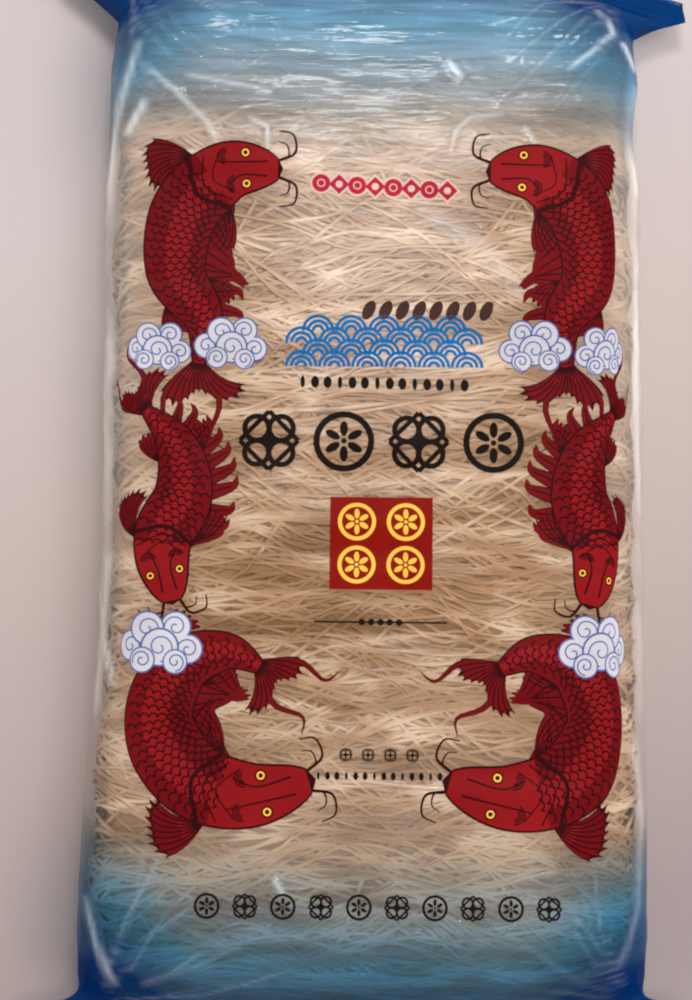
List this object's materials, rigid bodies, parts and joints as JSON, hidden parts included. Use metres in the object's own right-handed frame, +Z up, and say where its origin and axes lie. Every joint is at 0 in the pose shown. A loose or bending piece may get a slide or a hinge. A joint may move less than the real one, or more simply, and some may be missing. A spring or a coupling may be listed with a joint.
{
  "type": "pack of glass noodles",
  "caption": "Flat block of folded glass noodles sealed in a clear film pillow pack with blue ends and red print, lying on its back.",
  "frame": {"origin": "under the middle of the pack, on the surface that it lies on", "axes": "+Z up through the printed front, +Y along the pack towards the end that is at the top when the print is upright, +X across it to the right"},
  "size_m": [0.164, 0.286, 0.0367],
  "materials": {
    "film_and_noodles": "clear glossy film over pale beige glass noodles, seen as one surface",
    "clear_film": "thin clear glossy film with fine creases, printed translucent blue towards both sealed ends",
    "noodles": "dry translucent starch strands, pale beige with glossy sides",
    "print": "opaque printing ink on the film, mostly deep red, with black, white, blue and gold"
  },
  "bodies": {
    "root": {"noodle_pack": "film_and_noodles"}
  },
  "joints": []
}
